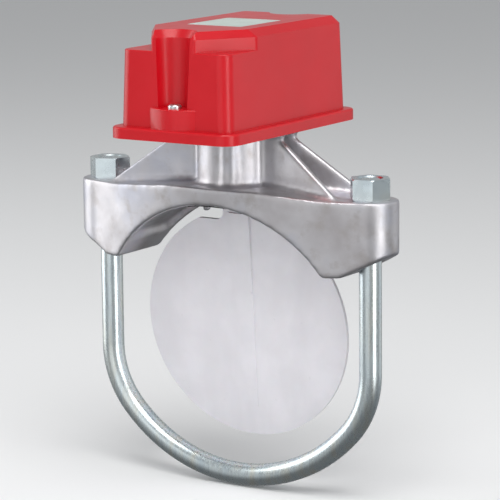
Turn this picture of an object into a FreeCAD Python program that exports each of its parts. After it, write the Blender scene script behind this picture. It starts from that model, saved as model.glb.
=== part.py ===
"""Vane flow switch for a 6 inch pipe.

The pipe runs along Y and its axis is the origin. X runs from one leg of the
U-bolt to the other and Z points up, from the pipe into the switch housing.
All lengths are in millimetres and all angles in degrees.
"""
import FreeCAD, Part
import os
from math import asin, atan2, cos, degrees, hypot, pi, radians, sin, sqrt, tan
from FreeCAD import Vector

X_AXIS = Vector(1, 0, 0)
Y_AXIS = Vector(0, 1, 0)
Z_AXIS = Vector(0, 0, 1)
ORIGIN = Vector(0, 0, 0)

# ---------------------------------------------------------------- fits
run_gap = 0.06          # radial clearance of a turning or sliding fit
bolt_gap = 0.8          # radial clearance of the clamp rod in its ear
screw_gap = 0.1         # radial clearance of a small screw in its hole
seat_gap = 0.3          # between parts that meet only when clamped

# ---------------------------------------------------------------- pipe and saddle
pipe_od = 168.3         # 6 inch steel pipe
gasket_stand = 0.95     # pipe gasket below the saddle's crown
gasket_sink = 2.0       # gasket let into the saddle
gasket_margin = 0.7     # outside the locating lugs
gasket_width = 5.6
saddle_arc_r = 90.0     # hollow face over the pipe
saddle_half_y = 34.0    # saddle's half width at the crown
saddle_tip_x = 75.0     # where the hollow face ends
saddle_tip_round = 4.5
saddle_heel_x = 86.0    # underside of the ear, inner end
saddle_heel_rise = 0.8  # heel above the tip
ear_r = 17.6            # rounded end of the ear, about the leg
ear_rise = 7.1          # nut seat above the crown
ear_depth = 32.5        # outer end of the ear
shoulder_x = 30.0       # where the saddle's back starts to fall to the ear
shoulder_rise = 11.0    # saddle's back above the crown
pocket_inner_x = 33.0   # lightening pockets in the hollow face
pocket_outer_x = 66.0
pocket_rim = 5.0        # left along the saddle's sides
pocket_depth = 4.2
lug_x = 21.5            # lugs that locate the saddle in the pipe's hole
lug_r = 3.0
lug_drop = 9.4

# ---------------------------------------------------------------- neck and webs
neck_r = 24.0
neck_bore_r = 18.5
flare_r = 20.5          # mouth of the neck at the pipe
flare_height = 10.0
neck_rib_r = 7.4        # half-round rib down the front of the neck
neck_rib_top_r = 6.2
neck_rib_stand = 3.2    # rib in front of the neck
neck_rib_turn = 22.0    # rib from straight ahead, towards +X
web_thick = 4.6
web_root_x = 24.0       # web centre line at the neck
web_root_y = 4.4
web_end_x = 84.5        # web centre line at the ear
web_end_y = 17.6
web_top_x = 33.5        # where the web's ridge meets the plate
web_toe_x = 81.0        # where the ridge comes down to the ear
web_toe_rise = 2.2
web_ridge_round = 1.4

# ---------------------------------------------------------------- base plate
plate_gap = 43.9        # underside of the plate above the saddle's crown
plate_thick = 3.8
cover_seal_thick = 1.2
cover_seal_width = 4.0
conduit_r = 11.1        # half inch conduit
conduit_side_inset = 19.1    # conduit entry from the plate's side
conduit_end_inset = 21.2     # and from its end
conduit_boss_r = 14.0
conduit_boss_rise = 4.0
ground_inset = 12.1     # ground screw from the plate's side
ground_y = -24.0

# ---------------------------------------------------------------- U-bolt and nuts
leg_spacing = 192.0
rod_r = 7.0             # M14
bend_r = 58.1           # centre line of the corner bends
bow_r = 109.4           # centre line of the bow under the pipe
bow_gap = 0.35          # bow below the pipe
rod_end_drop = 0.6      # rod end below the top of the nut
rod_chamfer = 1.4
nut_flats = 22.8
nut_height = 13.2
nut_turn_left = 20.3    # how the nuts happen to stand
nut_turn_right = 5.7

# ---------------------------------------------------------------- cover
flange_half_x = 44.9
flange_half_y = 76.0
flange_corner_r = 10.7
flange_height = 7.0
flange_drop = 0.8       # plate's underside below the flange's lower edge
skirt_gap = 0.5
skirt_wall = 2.8
flange_lip_x = 5.3      # flange beyond the foot of the body, at the sides
flange_lip_y = 5.6      # and at the ends
body_corner_r = 7.6
draft = 1.7             # degrees
cover_wall = 2.6
notch_height = 46.6     # front corner shelf above the flange's top
upper_height = 54.3     # foot of the top chamfer
cover_height = 59.0     # top of the cover
diagonal_share = 0.45   # the chamfer is narrower on the diagonal walls
front_share = 0.30      # and narrower still on the tower's front
top_inset = 4.9         # how far the chamfer brings the top in
tower_half_x = 15.4     # front of the tall part, at the shelf
notch_back_y = 33.8     # where the diagonal wall meets the side, from the front face
groove_r = 10.4         # hollow for the screwdriver, at the screw's seat
groove_top_r = 12.4     # and where its lip starts
groove_flare = 3.4
screw_inset = 8.6       # cover screw from the flange's end
pillar_wall = 2.6
boss_r = 29.0
boss_height = 12.6      # screw seat above the flange's top
boss_front = 0.9        # boss behind the flange's end
edge_round = 1.4
label_half_x = 20.0     # shallow seat for a label on top
label_half_y = 24.0
label_corner_r = 2.0
label_shift_x = 2.0
label_shift_y = -3.5
label_depth = 0.25

# ---------------------------------------------------------------- screws
cover_screw_r = 2.4
cover_screw_head_r = 4.2
cover_screw_head_h = 2.4
cover_screw_reach = 3.0     # below the top of the plate
m4_r = 2.0
m4_head_r = 3.6
m4_head_h = 2.4
m3_r = 1.5
m3_head_r = 2.75
m3_head_h = 1.9
slot_width = 1.0
slot_depth = 1.1
screw_bite = 2.8            # how deep a small screw goes into the plate

# ---------------------------------------------------------------- vane
pivot_drop = 11.6       # pivot below the top of the plate
rest_tilt = 5.5         # how far the vane leans downstream as modelled
vane_back = 5.5         # swing from there back to hanging straight
vane_forward = 12.0     # swing from there to full flow
stem_r = 4.0
stem_top_r = 2.6
stem_shoulder = 34.0    # stem's shoulder above the pivot
stem_top = 48.5
hub_r = 5.5
hub_half_x = 9.0
pin_r = 2.5
pin_half_x = 22.6
stem_flat_half_x = 10.0
stem_flat_thick = 4.0
stem_flat_top = 18.0    # below the pivot
stem_flat_end = 41.0
paddle_r = 73.5
paddle_rise = 3.6       # paddle's centre above the pipe's axis, hanging straight
paddle_flat = 6.7       # taken off the top of the round
paddle_thick = 2.4
paddle_tab_half_x = 12.4
paddle_tab_top = 24.0   # below the pivot
tab_fillet_r = 5.0
rib_top_half_x = 8.0
rib_end_half_x = 5.2
rib_stand = 1.4
rib_end_stand = 0.3
rib_top = 46.0          # below the pivot
rib_end = 173.0
clamp_half_x = 10.5
clamp_thick = 2.0
clamp_top = 26.0
clamp_end = 39.6
clamp_screw_x = 5.6
clamp_screw_z = 33.0

# ---------------------------------------------------------------- seal boot
boot_flange_r = 23.6
boot_flange_thick = 1.5
boot_collar_r = 8.0
boot_hole_r = 6.0
boot_hole_y = -1.3
boot_collar_drop = 5.4
boot_fold_height = 3.0
boot_wall = 1.1
boot_fold_r = 16.6       # outer foot of the fold
boot_fold_width = 2.7
boot_fold_lean = 1.0
boot_collar_thick = 3.0
ring_outer_r = 24.4
ring_inner_r = 18.6
ring_thick = 2.0
ring_screw_r = 21.4
ring_screws = 3

# ---------------------------------------------------------------- snap switches
switch_width = 10.3
switch_length = 27.8
switch_depth = 15.9
switch_face_y = -20.1
switch_foot = 8.0       # switch above the plate
insulator_thick = 1.6
insulator_margin = 1.0
switch_hole_pitch = 22.2
switch_hole_back = 12.4     # fixing holes behind the switch's face
plunger_r = 1.2
plunger_stand = 0.8
plunger_from_pivot = 6.4
lever_pivot_z = 43.1    # above the pivot of the vane
lever_stand = 1.35      # lever's pin in front of the switch's face
lever_length = 27.0
lever_half_x = 2.0
lever_thick = 0.8
lever_rest = 17.6       # lever's lean at rest
lever_barrel_r = 1.0
lever_pin_r = 0.5
lug_thick = 0.9
lug_half_z = 1.9
terminals = 3
terminal_pitch = 8.8
terminal_half = 3.2
terminal_thick = 0.8
terminal_head_r = 2.2
terminal_head_h = 1.5
terminal_bite = 2.0

# ---------------------------------------------------------------- brackets
sheet = 1.6
bracket_half_x = 23.0
bracket_clear = 6.1      # foot behind the cover's front pillar
bracket_back_y = -27.5
cheek_front_y = -44.0
cheek_back_y = -22.0
cheek_step = 9.0        # cheek's lower edge over the boot ring
cheek_height = 37.0
bracket_screw_x = 18.5
bracket_screw_y = -38.0
shelf_half_x = 16.0
shelf_front_y = 27.4
shelf_screw_x = 9.4
shelf_relief = 1.0      # round the conduit bosses
shelf_screw_y = 31.4
upright_half_x = 10.5
upright_height = 38.0

# ---------------------------------------------------------------- trip arm
collar_r = 6.3
collar_low = 17.0       # above the pivot
collar_high = 23.4
arm_half_x = 9.6
arm_front = 6.6
arm_low = 18.4
arm_high = 25.0
trip_x = switch_width / 2 + insulator_thick / 2
trip_z = 21.0
trip_tip = 9.0
trip_screw_r = 1.2
trip_nut_r = 2.1
trip_nut_h = 1.4

# ---------------------------------------------------------------- retard
retard_z = 30.0         # above the pivot of the vane
retard_r = 9.6
retard_front_y = 14.0
retard_back_y = 36.0
retard_bush_r = 4.4
retard_bush_front_y = 11.6
retard_boss_r = 5.4
retard_boss_length = 3.2
spindle_r = 2.4
dial_r = 8.0
dial_thick = 6.0
dial_flutes = 18
dial_flute_r = 0.7
rod_small_r = 2.0
rod_travel = 8.0
rod_back_y = 26.0
rod_reach = 1.48        # tip of the plunger behind the vane's axis plane

# ---------------------------------------------------------------- spring
spring_z = 44.5         # above the pivot of the vane
spring_r = 2.6
spring_wire_r = 0.45
spring_turns = 7
spring_front_y = 4.0
spring_back_y = 30.0
bead_r = 1.1
bead_length = 1.0

# ---------------------------------------------------------------- derived places
pipe_r = pipe_od / 2
crown_z = pipe_r + seat_gap + gasket_stand
ear_z = crown_z + ear_rise
leg_x = leg_spacing / 2
ear_end_x = leg_x + ear_r
plate_low_z = crown_z + plate_gap
plate_z = plate_low_z + plate_thick
flange_low_z = plate_low_z + flange_drop
flange_z = flange_low_z + flange_height
ledge_z = plate_z + cover_seal_thick
plate_half_x = flange_half_x - skirt_wall - skirt_gap
plate_half_y = flange_half_y - skirt_wall - skirt_gap
plate_corner_r = flange_corner_r - skirt_wall - skirt_gap
pivot_z = plate_z - pivot_drop
paddle_drop = pivot_z - paddle_rise
paddle_chord = paddle_r - paddle_flat
body_half_x = flange_half_x - flange_lip_x
body_half_y = flange_half_y - flange_lip_y
conduit_x = plate_half_x - conduit_side_inset
conduit_y = plate_half_y - conduit_end_inset
ground_x = plate_half_x - ground_inset
bracket_front_y = bracket_clear + groove_r + pillar_wall - body_half_y
screw_y = flange_half_y - screw_inset
boss_y = flange_half_y - boss_front - boss_r
nut_top_z = ear_z + nut_height
spring_end_z = pivot_z + spring_z
retard_axis_z = pivot_z + retard_z
switch_low_z = plate_z + switch_foot
switch_back_y = switch_face_y - switch_depth
switch_hole_y = switch_face_y - switch_hole_back
lever_pivot_y = switch_face_y + lever_stand
lever_axis_z = pivot_z + lever_pivot_z
bracket_half_gap = insulator_thick / 2 + switch_width
gasket_inner_r = lug_x + lug_r + gasket_margin
gasket_outer_r = gasket_inner_r + gasket_width
PIVOT = Vector(0, 0, pivot_z)


# ---------------------------------------------------------------- helpers
def cylinder(radius, start, end):
    """A round bar from one point to another."""
    line = end - start
    return Part.makeCylinder(radius, line.Length, start, line)


def cone(radius_1, radius_2, start, end):
    line = end - start
    return Part.makeCone(radius_1, radius_2, line.Length, start, line)


def box(low, high):
    size = high - low
    return Part.makeBox(size.x, size.y, size.z, low)


def join(shapes):
    """Fuse solids into one and drop the seams between flush faces."""
    return shapes[0].multiFuse(shapes[1:]).removeSplitter()


def corner_wire(points, radii, z):
    """A closed level outline whose corners are rounded by the given radii."""
    edges = []
    count = len(points)
    ends = []
    for i in range(count):
        here = Vector(points[i][0], points[i][1], z)
        before = Vector(points[i - 1][0], points[i - 1][1], z) - here
        after = Vector(points[(i + 1) % count][0], points[(i + 1) % count][1], z) - here
        half = before.getAngle(after) / 2
        reach = radii[i] / tan(half)
        before.normalize()
        after.normalize()
        middle = before + after
        middle.normalize()
        top = here + middle * (radii[i] / sin(half) - radii[i])
        ends.append((here + before * reach, top, here + after * reach))
    for i in range(count):
        start, top, end = ends[i]
        edges.append(Part.Arc(start, top, end).toShape())
        edges.append(Part.makeLine(end, ends[(i + 1) % count][0]))
    return Part.Wire(edges)


def rounded_rectangle(half_x, half_y, radius, z):
    points = [(half_x, -half_y), (half_x, half_y), (-half_x, half_y), (-half_x, -half_y)]
    return corner_wire(points, [radius] * 4, z)


def rounded_plate(half_x, half_y, radius, low, high):
    face = Part.Face(rounded_rectangle(half_x, half_y, radius, low))
    return face.extrude(Vector(0, 0, high - low))


def polygon_x(points, low_x, high_x):
    """A prism along X from (y, z) points."""
    corners = [Vector(low_x, y, z) for y, z in points]
    face = Part.Face(Part.makePolygon(corners + corners[:1]))
    return face.extrude(Vector(high_x - low_x, 0, 0))


def polygon_y(points, low_y, high_y):
    """A prism along Y from (x, z) points."""
    corners = [Vector(x, low_y, z) for x, z in points]
    face = Part.Face(Part.makePolygon(corners + corners[:1]))
    return face.extrude(Vector(0, high_y - low_y, 0))


def hexagon(flats, start, end, turn=0):
    """A hexagonal bar along Z."""
    radius = flats / 2 / cos(radians(30))
    angles = [radians(60 * i + turn) for i in range(6)]
    corners = [start + Vector(radius * cos(a), radius * sin(a), 0) for a in angles]
    face = Part.Face(Part.makePolygon(corners + corners[:1]))
    return face.extrude(end - start)


def mirror_x(shape):
    return shape.mirror(ORIGIN, X_AXIS)


def mirror_y(shape):
    return shape.mirror(ORIGIN, Y_AXIS)


def edges_at(shape, test):
    """The straight or curved edges whose two ends and middle all pass a test."""
    found = []
    for edge in shape.Edges:
        middle = edge.valueAt((edge.FirstParameter + edge.LastParameter) / 2)
        spots = [vertex.Point for vertex in edge.Vertexes] + [middle]
        if all(test(spot) for spot in spots):
            found.append(edge)
    return found


def slotted_head(radius, height, seat, out):
    """A domed screw head with a driver slot, seated at a point and standing out."""
    head = cylinder(radius, seat, seat + out * height)
    rim = edges_at(head, lambda p: abs((p - seat).dot(out) - height) < 0.01)
    head = head.makeFillet(height * 0.45, rim)
    across = Vector(1, 0, 0) if abs(out.x) < 0.5 else Vector(0, 1, 0)
    side = out.cross(across)
    low = seat + out * (height - slot_depth)
    corners = [
        low + across * s * radius * 1.1 + side * t * slot_width / 2
        for s, t in ((-1, -1), (1, -1), (1, 1), (-1, 1))
    ]
    slot = Part.Face(Part.makePolygon(corners + corners[:1])).extrude(out * height)
    return head.cut(slot)


def machine_screw(radius, head_r, head_h, seat, out, length):
    """A slotted screw: its head stands out from the seat, its shank goes in."""
    shank = cylinder(radius, seat - out * length, seat)
    return join([slotted_head(head_r, head_h, seat, out), shank])


def tilted(shape):
    """Lean a piece of the vane from hanging straight to its place as modelled."""
    turned = shape.copy()
    turned.rotate(PIVOT, X_AXIS, rest_tilt)
    return turned


# ---------------------------------------------------------------- saddle casting
def saddle_block():
    """The bridge over the pipe, with the ears at its ends."""
    arc_centre_z = crown_z - saddle_arc_r
    tip_z = arc_centre_z + sqrt(saddle_arc_r ** 2 - saddle_tip_x ** 2)
    half_x = saddle_tip_x / 2
    middle = Vector(half_x, 0, arc_centre_z + sqrt(saddle_arc_r ** 2 - half_x ** 2))
    back_z = crown_z + shoulder_rise
    outline = [
        Vector(saddle_tip_x, 0, tip_z),
        Vector(saddle_heel_x, 0, tip_z + saddle_heel_rise),
        Vector(ear_end_x, 0, ear_z - ear_depth),
        Vector(ear_end_x, 0, ear_z),
        Vector(leg_x - ear_r, 0, ear_z),
        Vector(shoulder_x, 0, back_z),
        Vector(0, 0, back_z),
        Vector(0, 0, crown_z),
    ]
    edges = [Part.makeLine(a, b) for a, b in zip(outline, outline[1:])]
    edges.append(Part.Arc(outline[-1], middle, outline[0]).toShape())
    half = Part.Face(Part.Wire(edges))
    half.translate(Vector(0, -saddle_half_y - 1, 0))
    half = half.extrude(Vector(0, 2 * saddle_half_y + 2, 0))
    tips = edges_at(half, lambda p: abs(p.x - saddle_tip_x) < 0.01 and abs(p.z - tip_z) < 0.01)
    half = half.makeFillet(saddle_tip_round, tips)
    block = join([half, mirror_x(half)])
    return block.common(saddle_outline(0, crown_z - saddle_arc_r, back_z + 1))


def saddle_outline(inset, low, high):
    """The saddle seen from above: full at the crown, round about each leg."""
    end_r = ear_r - inset
    side_y = saddle_half_y - inset
    spots = [
        Vector(-leg_x, -end_r, low), Vector(0, -side_y, low), Vector(leg_x, -end_r, low),
        Vector(leg_x + end_r, 0, low), Vector(leg_x, end_r, low), Vector(0, side_y, low),
        Vector(-leg_x, end_r, low), Vector(-leg_x - end_r, 0, low),
    ]
    arcs = [
        Part.Arc(spots[0], spots[1], spots[2]), Part.Arc(spots[2], spots[3], spots[4]),
        Part.Arc(spots[4], spots[5], spots[6]), Part.Arc(spots[6], spots[7], spots[0]),
    ]
    face = Part.Face(Part.Wire([arc.toShape() for arc in arcs]))
    return face.extrude(Vector(0, 0, high - low))


def web():
    """One of the four webs that stiffen the neck down to the ears."""
    run = hypot(web_end_x - web_root_x, web_end_y - web_root_y)
    lean = degrees(atan2(web_end_y - web_root_y, web_end_x - web_root_x))
    stretch = run / (web_end_x - web_root_x)
    buried_z = crown_z + ear_rise - 2
    points = [
        (-8, buried_z),
        (run, buried_z),
        (run, ear_z),
        ((web_toe_x - web_root_x) * stretch, ear_z + web_toe_rise),
        ((web_top_x - web_root_x) * stretch, plate_low_z),
        ((web_top_x - web_root_x) * stretch, plate_low_z + 1),
        (-8, plate_low_z + 1),
    ]
    blade = polygon_y(points, -web_thick / 2, web_thick / 2)
    ridge = edges_at(blade, lambda p: on_ridge(p, points[3], points[4]))
    blade = blade.makeFillet(web_ridge_round, ridge)
    blade.rotate(ORIGIN, Z_AXIS, lean)
    blade.translate(Vector(web_root_x, web_root_y, 0))
    return blade


def on_ridge(spot, low, high):
    """Whether a point of the straight blade lies on its sloping ridge."""
    share = (spot.x - low[0]) / (high[0] - low[0])
    on_slope = abs(spot.z - low[1] - share * (high[1] - low[1])) < 0.01
    return on_slope and -0.01 < share < 1.01 and abs(abs(spot.y) - web_thick / 2) < 0.01


def screw_holes_in_plate():
    """The blind holes for every small screw that bites into the plate."""
    low = plate_z - screw_bite - seat_gap
    spots = [(bracket_screw_x, bracket_screw_y), (-bracket_screw_x, bracket_screw_y)]
    spots += [(shelf_screw_x, shelf_screw_y), (-shelf_screw_x, shelf_screw_y)]
    spots += [(ground_x, ground_y)]
    holes = [cylinder(m4_r + screw_gap, Vector(x, y, low), Vector(x, y, plate_z + 1)) for x, y in spots]
    for x, y in ring_screw_spots():
        holes.append(cylinder(m3_r + screw_gap, Vector(x, y, low), Vector(x, y, plate_z + 1)))
    return holes


def ring_screw_spots():
    angles = [radians(90 + 360 * i / ring_screws) for i in range(ring_screws)]
    return [(ring_screw_r * cos(a), ring_screw_r * sin(a)) for a in angles]


def saddle_casting():
    neck = cylinder(neck_r, Vector(0, 0, crown_z + 4), Vector(0, 0, plate_z))
    rib_y = -(neck_r + neck_rib_stand - neck_rib_r)
    rib = cone(neck_rib_r, neck_rib_top_r, Vector(0, rib_y, crown_z + 4), Vector(0, rib_y, plate_z))
    rib.rotate(ORIGIN, Z_AXIS, neck_rib_turn)
    one = web()
    webs = [one, mirror_x(one), mirror_y(one), mirror_y(mirror_x(one))]
    plate = rounded_plate(plate_half_x, plate_half_y, plate_corner_r, plate_low_z, plate_z)
    bosses = []
    for side in (-1, 1):
        foot = Vector(side * conduit_x, conduit_y, plate_low_z)
        bosses.append(cylinder(conduit_boss_r, foot, foot + Z_AXIS * (plate_thick + conduit_boss_rise)))
    lugs = []
    for side in (-1, 1):
        low = Vector(side * lug_x, 0, crown_z - lug_drop)
        lugs.append(cylinder(lug_r, low, Vector(side * lug_x, 0, crown_z + 2)))
    casting = join([saddle_block(), neck, rib, plate] + webs + bosses + lugs)
    cuts = [cylinder(neck_bore_r, Vector(0, 0, crown_z - lug_drop - 1), Vector(0, 0, plate_z + 1))]
    mouth = Vector(0, 0, crown_z)
    cuts.append(cylinder(flare_r, mouth - Z_AXIS * (lug_drop + 1), mouth))
    cuts.append(cone(flare_r, neck_bore_r, mouth, mouth + Z_AXIS * flare_height))
    for side in (-1, 1):
        leg = Vector(side * leg_x, 0, 0)
        cuts.append(cylinder(rod_r + bolt_gap, leg, leg + Z_AXIS * (ear_z + 1)))
        through = Z_AXIS * (plate_thick + conduit_boss_rise + 2)
        mouth = Vector(side * conduit_x, conduit_y, plate_low_z - 1)
        cuts.append(cylinder(conduit_r, mouth, mouth + through))
        low = Vector(0, side * screw_y, plate_low_z - 1)
        cuts.append(cylinder(cover_screw_r + screw_gap, low, low + through))
        cuts.append(side_pocket(side))
    cuts.append(cylinder(pin_r, Vector(-pin_half_x, 0, pivot_z), Vector(pin_half_x, 0, pivot_z)))
    cuts += screw_holes_in_plate()
    for piece in cuts:
        casting = casting.cut(piece)
    return casting.removeSplitter()


def side_pocket(side):
    """A shallow pocket in the hollow face that leaves a rim and a middle pad."""
    axis_z = crown_z - saddle_arc_r
    drum_r = saddle_arc_r + pocket_depth
    drum = cylinder(drum_r, Vector(0, -saddle_half_y, axis_z), Vector(0, saddle_half_y, axis_z))
    low_x, high_x = sorted((side * pocket_inner_x, side * pocket_outer_x))
    window = box(Vector(low_x, -saddle_half_y, 0), Vector(high_x, saddle_half_y, crown_z + 10))
    return drum.common(window).common(saddle_outline(pocket_rim, 0, crown_z + 10))


def pivot_pin():
    return cylinder(pin_r, Vector(-pin_half_x, 0, pivot_z), Vector(pin_half_x, 0, pivot_z))


# ---------------------------------------------------------------- pipe gasket
def gasket_ring(margin, drum_r, high):
    """A ring round the neck's mouth, bounded above by a drum along the pipe."""
    low = Vector(0, 0, crown_z - lug_drop - 4)
    outer = cylinder(gasket_outer_r - margin, low, Vector(0, 0, high))
    inner = cylinder(gasket_inner_r + margin, low, Vector(0, 0, high))
    axis_z = crown_z - saddle_arc_r
    reach = gasket_outer_r + 2
    drum = cylinder(drum_r, Vector(0, -reach, axis_z), Vector(0, reach, axis_z))
    return outer.cut(inner).common(drum)


def gasket_groove():
    return gasket_ring(0, saddle_arc_r + gasket_sink, crown_z + gasket_sink + 1)


def pipe_gasket():
    ring = gasket_ring(0.2, saddle_arc_r + gasket_sink, crown_z + gasket_sink + 1)
    reach = gasket_outer_r + 2
    pipe = cylinder(pipe_r + seat_gap, Vector(0, -reach, 0), Vector(0, reach, 0))
    return ring.cut(pipe)


# ---------------------------------------------------------------- cover
def body_half(z):
    """Half width and half length of the drafted body at a height."""
    shrink = (z - flange_z) * tan(radians(draft))
    return body_half_x - shrink, body_half_y - shrink


def lower_wire(z, inset):
    half_x, half_y = body_half(z)
    return rounded_rectangle(half_x - inset, half_y - inset, body_corner_r - inset, z)


def upper_wire(z, base_z, inset, diagonal_inset, front_inset):
    """The tall part seen from above: both front corners are cut off."""
    half_x, half_y = body_half(base_z)
    run_x = half_x - tower_half_x
    slant = hypot(run_x, notch_back_y)
    tower_x = tower_half_x + (front_inset * run_x - diagonal_inset * slant) / notch_back_y
    side_y = (diagonal_inset * slant + notch_back_y * (run_x - inset)) / run_x - half_y
    front = front_inset - half_y
    side = half_x - inset
    back = half_y - inset
    points = [
        (tower_x, front), (side, side_y), (side, back),
        (-side, back), (-side, side_y), (-tower_x, front),
    ]
    rear_r = body_corner_r - min(inset, body_corner_r - 2.5)
    return corner_wire(points, [2.0, 4.0, rear_r, rear_r, 4.0, 2.0], z)


def loft(wires):
    return Part.makeLoft(wires, True, True)


def cover_top(inset, top_z):
    """The tall part and its chamfer, drawn in by a wall thickness."""
    shelf_z = flange_z + notch_height - inset - edge_round
    foot_z = flange_z + upper_height - inset * tan(radians(22.5))
    foot = upper_wire(foot_z, foot_z, inset, inset, inset)
    shelf = upper_wire(shelf_z, shelf_z, inset, inset, inset)
    share = (top_z - foot_z) / (cover_height - upper_height)
    slope = top_inset * share
    diagonal_inset = inset + slope * diagonal_share
    front_inset = inset + slope * front_share
    top = upper_wire(top_z, foot_z, inset + slope, diagonal_inset, front_inset)
    return loft([shelf, foot]).fuse(loft([foot, top]))


def screw_hollow(side, wall, low, seat_z, lip_z, high):
    """The round hollow over a cover screw, made wider by a wall; it opens upwards."""
    axis = Vector(0, side * body_half_y, 0)
    low_r = groove_r + wall
    high_r = groove_top_r + wall
    pieces = [cone(low_r, high_r, axis + Z_AXIS * seat_z, axis + Z_AXIS * lip_z)]
    pieces.append(cylinder(high_r, axis + Z_AXIS * lip_z, axis + Z_AXIS * high))
    if low < seat_z:
        pieces.append(cylinder(low_r, axis + Z_AXIS * low, axis + Z_AXIS * seat_z))
    return join(pieces)


def cover():
    top_z = flange_z + cover_height
    shelf_z = flange_z + notch_height
    seat_z = flange_z + boss_height
    flange = rounded_plate(flange_half_x, flange_half_y, flange_corner_r, flange_low_z, flange_z)
    rims = edges_at(flange, lambda p: abs(p.z - flange_z) < 0.01)
    flange = flange.makeFillet(edge_round, rims)
    body = loft([lower_wire(flange_z - 1, 0), lower_wire(shelf_z, 0)])
    rims = edges_at(body, lambda p: abs(p.z - shelf_z) < 0.01)
    body = body.makeFillet(edge_round / 2, rims)
    outer = [flange, body, cover_top(0, top_z)]
    for side in (-1, 1):
        foot = Vector(0, side * boss_y, flange_z - 1)
        boss = cylinder(boss_r, foot, Vector(0, side * boss_y, seat_z))
        rims = edges_at(boss, lambda p: abs(p.z - seat_z) < 0.01)
        outer.append(boss.makeFillet(edge_round / 2, rims))
    shell = join(outer)
    cavity = loft([lower_wire(ledge_z - 1, cover_wall), lower_wire(shelf_z - cover_wall, cover_wall)])
    cavity = cavity.fuse(cover_top(cover_wall, top_z - cover_wall))
    lip_z = flange_z + upper_height
    for side in (-1, 1):
        cavity = cavity.cut(screw_hollow(side, pillar_wall, flange_low_z - 5, seat_z, lip_z, top_z + 5))
    shell = shell.cut(cavity)
    pocket_x = plate_half_x + skirt_gap
    pocket_y = plate_half_y + skirt_gap
    pocket = rounded_plate(pocket_x, pocket_y, plate_corner_r + skirt_gap, flange_low_z - 1, ledge_z)
    shell = shell.cut(pocket)
    for side in (-1, 1):
        shell = shell.cut(screw_hollow(side, 0, seat_z, seat_z, lip_z, top_z + 1))
        foot = Vector(0, side * body_half_y, lip_z)
        rise = 2 * (top_z - lip_z)
        shell = shell.cut(cone(groove_top_r, groove_top_r + 2 * groove_flare, foot, foot + Z_AXIS * rise))
        hole = Vector(0, side * screw_y, flange_low_z)
        shell = shell.cut(cylinder(cover_screw_r + screw_gap, hole, hole + Z_AXIS * cover_height))
    seat = rounded_plate(label_half_x, label_half_y, label_corner_r, top_z - label_depth, top_z + 1)
    seat.translate(Vector(label_shift_x, label_shift_y, 0))
    return shell.cut(seat).removeSplitter()


def cover_seal():
    """The flat rubber frame between the plate and the cover's ledge."""
    half_x = plate_half_x - 0.6
    half_y = plate_half_y - 0.6
    outer = rounded_plate(half_x, half_y, plate_corner_r - 0.6, plate_z, ledge_z)
    inner_r = plate_corner_r - 0.6 - cover_seal_width / 2
    inner_x = half_x - cover_seal_width
    inner_y = half_y - cover_seal_width
    inner = rounded_plate(inner_x, inner_y, inner_r, plate_z - 1, ledge_z + 1)
    frame = outer.cut(inner)
    for side in (-1, 1):
        low = Vector(0, side * screw_y, plate_z - 1)
        frame = frame.cut(cylinder(cover_screw_r + bolt_gap, low, low + Z_AXIS * 5))
    return frame


def cover_screw(side):
    seat_z = flange_z + boss_height
    length = seat_z - plate_z + cover_screw_reach
    seat = Vector(0, side * screw_y, seat_z)
    return machine_screw(cover_screw_r, cover_screw_head_r, cover_screw_head_h, seat, Z_AXIS, length)


# ---------------------------------------------------------------- U-bolt and nuts
def u_bolt():
    """A round rod: two straight legs, two bends and a flatter bow."""
    low_z = -(pipe_r + bow_gap + rod_r)
    bend_x = leg_x - bend_r
    turn = asin(bend_x / (bow_r - bend_r))
    bend_z = low_z + bow_r - (bow_r - bend_r) * cos(turn)
    top_z = nut_top_z - rod_end_drop
    meet_x = bow_r * sin(turn)
    meet_z = low_z + bow_r - bow_r * cos(turn)
    middle = (pi / 2 - turn) / 2
    bend_mid_x = bend_x + bend_r * cos(middle)
    bend_mid_z = bend_z - bend_r * sin(middle)
    edges = [
        Part.makeLine(Vector(-leg_x, 0, top_z), Vector(-leg_x, 0, bend_z)),
        Part.Arc(
            Vector(-leg_x, 0, bend_z), Vector(-bend_mid_x, 0, bend_mid_z), Vector(-meet_x, 0, meet_z)
        ).toShape(),
        Part.Arc(Vector(-meet_x, 0, meet_z), Vector(0, 0, low_z), Vector(meet_x, 0, meet_z)).toShape(),
        Part.Arc(
            Vector(meet_x, 0, meet_z), Vector(bend_mid_x, 0, bend_mid_z), Vector(leg_x, 0, bend_z)
        ).toShape(),
        Part.makeLine(Vector(leg_x, 0, bend_z), Vector(leg_x, 0, top_z)),
    ]
    ring = Part.Wire(Part.makeCircle(rod_r, Vector(-leg_x, 0, top_z), Z_AXIS))
    rod = Part.Wire(edges).makePipeShell([ring], True, False)
    ends = edges_at(rod, lambda p: abs(p.z - top_z) < 0.01)
    return rod.makeChamfer(rod_chamfer, ends)


def nut(side, turn):
    foot = Vector(side * leg_x, 0, ear_z)
    top = Vector(side * leg_x, 0, nut_top_z)
    corner_r = nut_flats / 2 / cos(radians(30))
    blank = cylinder(corner_r, foot, top)
    rims = edges_at(blank, lambda p: abs(p.z - ear_z) < 0.01 or abs(p.z - nut_top_z) < 0.01)
    blank = blank.makeChamfer(0.75, rims)
    body = hexagon(nut_flats, foot, top, turn).common(blank)
    body = body.cut(cylinder(rod_r + run_gap, foot - Z_AXIS, top + Z_AXIS))
    mouth = cone(rod_r + run_gap, rod_r + run_gap + 1, top - Z_AXIS, top)
    return body.cut(mouth)


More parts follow.
